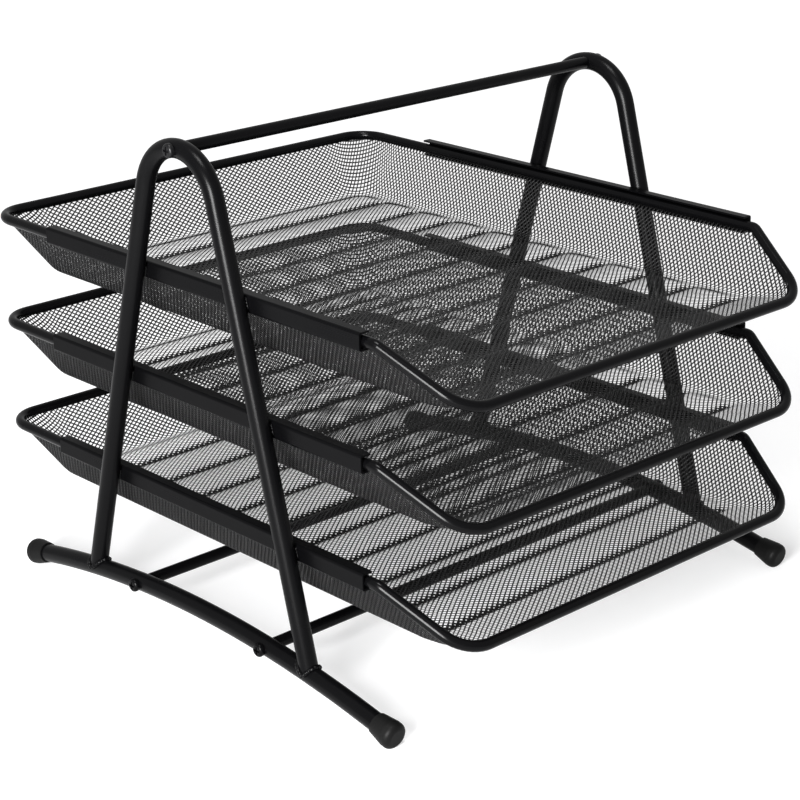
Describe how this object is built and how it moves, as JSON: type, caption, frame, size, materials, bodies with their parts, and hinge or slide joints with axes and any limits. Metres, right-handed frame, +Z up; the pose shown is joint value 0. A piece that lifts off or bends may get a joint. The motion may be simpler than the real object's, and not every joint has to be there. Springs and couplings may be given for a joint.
{
  "type": "three-tier file tray",
  "caption": "Desk letter tray in tiers: mesh trays with wire rims slide forward in channel rails on a black steel tube stand with a handle rod.",
  "frame": {"origin": "on the table, under the middle of the object's box; the middle of the stand lies 5 mm before it", "axes": "+X to the right, +Y to the back, +Z up; the trays slide out along -Y"},
  "size_m": [0.2984, 0.3479, 0.2611],
  "materials": {
    "black_steel": "satin black powder coat on steel tube, wire and sheet",
    "black_mesh": "satin black powder coat on expanded steel mesh",
    "foot_cap": "matt black moulded cap",
    "black_screw": "black pan head screw with cross recess"
  },
  "bodies": {
    "stand": {"left_side_arch": "black_steel", "left_foot_bar": "black_steel", "left_front_foot_cap": "foot_cap", "left_rear_foot_cap": "foot_cap", "left_bottom_rail": "black_steel", "left_middle_rail": "black_steel", "left_top_rail": "black_steel", "right_side_arch": "black_steel", "right_foot_bar": "black_steel", "right_front_foot_cap": "foot_cap", "right_rear_foot_cap": "foot_cap", "right_bottom_rail": "black_steel", "right_middle_rail": "black_steel", "right_top_rail": "black_steel", "handle_rod": "black_steel", "front_cross_rod": "black_steel", "rear_cross_rod": "black_steel", "handle_screws": "black_screw", "front_cross_rod_screws": "black_screw", "rear_cross_rod_screws": "black_screw"},
    "bottom_tray": {"bottom_tray_rim": "black_steel", "bottom_tray_mesh": "black_mesh"},
    "middle_tray": {"middle_tray_rim": "black_steel", "middle_tray_mesh": "black_mesh"},
    "top_tray": {"top_tray_rim": "black_steel", "top_tray_mesh": "black_mesh"}
  },
  "joints": [
    {"name": "bottom_tray_slide", "type": "slide", "parent": "stand", "child": "bottom_tray", "axis": [0, -1, 0], "range_m": [0, 0.2]},
    {"name": "middle_tray_slide", "type": "slide", "parent": "stand", "child": "middle_tray", "axis": [0, -1, 0], "range_m": [0, 0.2]},
    {"name": "top_tray_slide", "type": "slide", "parent": "stand", "child": "top_tray", "axis": [0, -1, 0], "range_m": [0, 0.2]}
  ]
}
